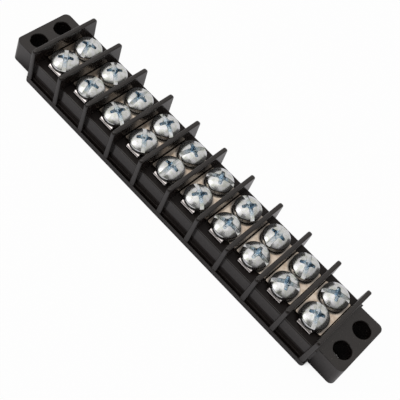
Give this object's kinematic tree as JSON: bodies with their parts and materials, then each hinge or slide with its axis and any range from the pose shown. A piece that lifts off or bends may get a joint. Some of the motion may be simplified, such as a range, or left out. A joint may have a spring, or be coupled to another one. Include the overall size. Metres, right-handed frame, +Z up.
{
  "type": "barrier terminal strip",
  "caption": "Long black moulded barrier terminal strip with tall dividers, plated link bars in a row, a screw at both ends of each bar and drilled mounting lugs.",
  "frame": {"origin": "centre of the strip's box, on the mounting face", "axes": "+X along the row of positions, +Y across the strip to the rear row of screws, +Z up from the mounting face to the barrier tops"},
  "size_m": [0.1126, 0.021, 0.0117],
  "materials": {
    "housing_plastic": "satin moulded thermoplastic",
    "tinned_brass": "dull tin plating over brass",
    "zinc_steel": "bright zinc plating"
  },
  "bodies": {
    "strip": {"housing": "housing_plastic", "link_bar_01": "tinned_brass", "link_bar_02": "tinned_brass", "link_bar_03": "tinned_brass", "link_bar_04": "tinned_brass", "link_bar_05": "tinned_brass", "link_bar_06": "tinned_brass", "link_bar_07": "tinned_brass", "link_bar_08": "tinned_brass", "link_bar_09": "tinned_brass", "link_bar_10": "tinned_brass"},
    "screw_front_01": {"screw_front_01": "zinc_steel"},
    "screw_front_02": {"screw_front_02": "zinc_steel"},
    "screw_front_03": {"screw_front_03": "zinc_steel"},
    "screw_front_04": {"screw_front_04": "zinc_steel"},
    "screw_front_05": {"screw_front_05": "zinc_steel"},
    "screw_front_06": {"screw_front_06": "zinc_steel"},
    "screw_front_07": {"screw_front_07": "zinc_steel"},
    "screw_front_08": {"screw_front_08": "zinc_steel"},
    "screw_front_09": {"screw_front_09": "zinc_steel"},
    "screw_front_10": {"screw_front_10": "zinc_steel"},
    "screw_rear_01": {"screw_rear_01": "zinc_steel"},
    "screw_rear_02": {"screw_rear_02": "zinc_steel"},
    "screw_rear_03": {"screw_rear_03": "zinc_steel"},
    "screw_rear_04": {"screw_rear_04": "zinc_steel"},
    "screw_rear_05": {"screw_rear_05": "zinc_steel"},
    "screw_rear_06": {"screw_rear_06": "zinc_steel"},
    "screw_rear_07": {"screw_rear_07": "zinc_steel"},
    "screw_rear_08": {"screw_rear_08": "zinc_steel"},
    "screw_rear_09": {"screw_rear_09": "zinc_steel"},
    "screw_rear_10": {"screw_rear_10": "zinc_steel"}
  },
  "joints": [
    {"name": "undo_front_01", "type": "slide", "parent": "strip", "child": "screw_front_01", "axis": [0, 0, 1], "range_m": [0, 0.004]},
    {"name": "undo_front_02", "type": "slide", "parent": "strip", "child": "screw_front_02", "axis": [0, 0, 1], "range_m": [0, 0.004]},
    {"name": "undo_front_03", "type": "slide", "parent": "strip", "child": "screw_front_03", "axis": [0, 0, 1], "range_m": [0, 0.004]},
    {"name": "undo_front_04", "type": "slide", "parent": "strip", "child": "screw_front_04", "axis": [0, 0, 1], "range_m": [0, 0.004]},
    {"name": "undo_front_05", "type": "slide", "parent": "strip", "child": "screw_front_05", "axis": [0, 0, 1], "range_m": [0, 0.004]},
    {"name": "undo_front_06", "type": "slide", "parent": "strip", "child": "screw_front_06", "axis": [0, 0, 1], "range_m": [0, 0.004]},
    {"name": "undo_front_07", "type": "slide", "parent": "strip", "child": "screw_front_07", "axis": [0, 0, 1], "range_m": [0, 0.004]},
    {"name": "undo_front_08", "type": "slide", "parent": "strip", "child": "screw_front_08", "axis": [0, 0, 1], "range_m": [0, 0.004]},
    {"name": "undo_front_09", "type": "slide", "parent": "strip", "child": "screw_front_09", "axis": [0, 0, 1], "range_m": [0, 0.004]},
    {"name": "undo_front_10", "type": "slide", "parent": "strip", "child": "screw_front_10", "axis": [0, 0, 1], "range_m": [0, 0.004]},
    {"name": "undo_rear_01", "type": "slide", "parent": "strip", "child": "screw_rear_01", "axis": [0, 0, 1], "range_m": [0, 0.004]},
    {"name": "undo_rear_02", "type": "slide", "parent": "strip", "child": "screw_rear_02", "axis": [0, 0, 1], "range_m": [0, 0.004]},
    {"name": "undo_rear_03", "type": "slide", "parent": "strip", "child": "screw_rear_03", "axis": [0, 0, 1], "range_m": [0, 0.004]},
    {"name": "undo_rear_04", "type": "slide", "parent": "strip", "child": "screw_rear_04", "axis": [0, 0, 1], "range_m": [0, 0.004]},
    {"name": "undo_rear_05", "type": "slide", "parent": "strip", "child": "screw_rear_05", "axis": [0, 0, 1], "range_m": [0, 0.004]},
    {"name": "undo_rear_06", "type": "slide", "parent": "strip", "child": "screw_rear_06", "axis": [0, 0, 1], "range_m": [0, 0.004]},
    {"name": "undo_rear_07", "type": "slide", "parent": "strip", "child": "screw_rear_07", "axis": [0, 0, 1], "range_m": [0, 0.004]},
    {"name": "undo_rear_08", "type": "slide", "parent": "strip", "child": "screw_rear_08", "axis": [0, 0, 1], "range_m": [0, 0.004]},
    {"name": "undo_rear_09", "type": "slide", "parent": "strip", "child": "screw_rear_09", "axis": [0, 0, 1], "range_m": [0, 0.004]},
    {"name": "undo_rear_10", "type": "slide", "parent": "strip", "child": "screw_rear_10", "axis": [0, 0, 1], "range_m": [0, 0.004]}
  ]
}
